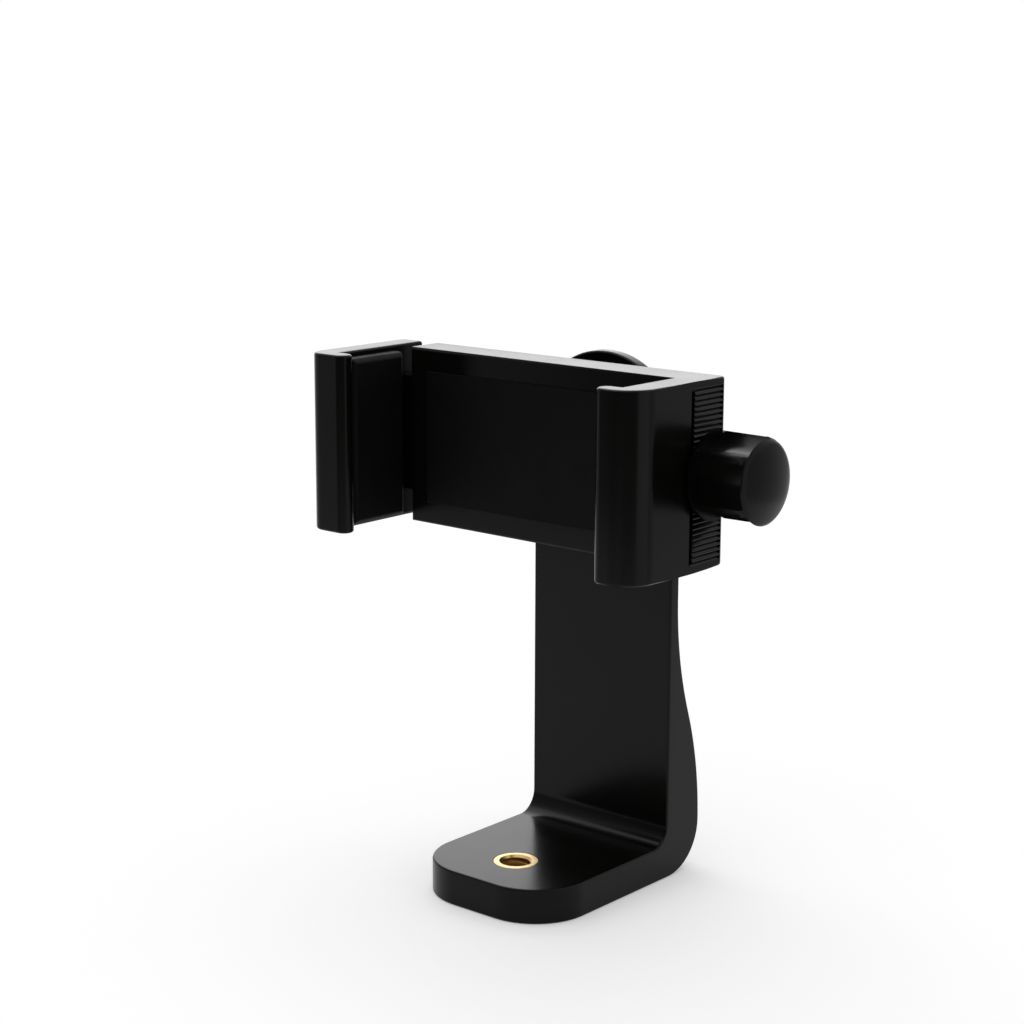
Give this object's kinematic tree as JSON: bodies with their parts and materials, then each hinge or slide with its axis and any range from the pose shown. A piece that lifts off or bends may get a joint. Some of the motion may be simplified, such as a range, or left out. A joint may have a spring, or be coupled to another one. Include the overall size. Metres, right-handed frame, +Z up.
{
  "type": "phone holder",
  "caption": "Swivelling phone clamp with hooked jaws and a thumb knob, on an L-shaped bracket whose foot takes a tripod screw.",
  "frame": {"origin": "on the axis of the foot's threaded insert, on the underside of the foot", "axes": "+Z up along the insert's axis, +Y back from the foot to the arm, +X to the knob, across the grip of the jaws"},
  "size_m": [0.0853, 0.047, 0.096],
  "materials": {
    "black_abs": "satin, finely textured moulding",
    "black_rubber": "matt",
    "brass": "turned, bright",
    "zinc_steel": "zinc plated",
    "black_screws": "black oxide",
    "black_nylon": "smooth, slightly waxy"
  },
  "bodies": {
    "stand": {"bracket": "black_abs", "thread_insert": "brass", "pivot_cap": "black_abs"},
    "clamp": {"clamp_front": "black_abs", "clamp_rear": "black_abs", "cover_screws": "black_screws", "fixed_jaw_pad": "black_rubber", "back_pad": "black_rubber", "retaining_clip": "zinc_steel", "pivot_bolt": "zinc_steel", "pivot_washer": "zinc_steel", "disc_spring": "zinc_steel", "friction_washer": "black_nylon", "pivot_nut": "zinc_steel"},
    "slider": {"sliding_jaw": "black_abs", "sliding_jaw_pad": "black_rubber", "slider_nut": "brass"},
    "screw": {"knob": "black_abs", "knob_washer": "black_nylon", "lead_screw": "zinc_steel"}
  },
  "joints": [
    {"name": "swivel", "type": "hinge", "parent": "stand", "child": "clamp", "pos_m": [0, 0.0178, 0.08], "axis": [0, 1, 0], "continuous": true},
    {"name": "knob_spin", "type": "hinge", "parent": "clamp", "child": "screw", "pos_m": [0.0353, 0.0075, 0.08], "axis": [1, 0, 0], "range_deg": [-2058, 13886]},
    {"name": "jaw_slide", "type": "slide", "parent": "clamp", "child": "slider", "axis": [-1, 0, 0], "range_m": [-0.004, 0.027]}
  ],
  "couplings": [
    {"joint": "knob_spin", "follows": "jaw_slide", "rad_per_m": 8976}
  ]
}
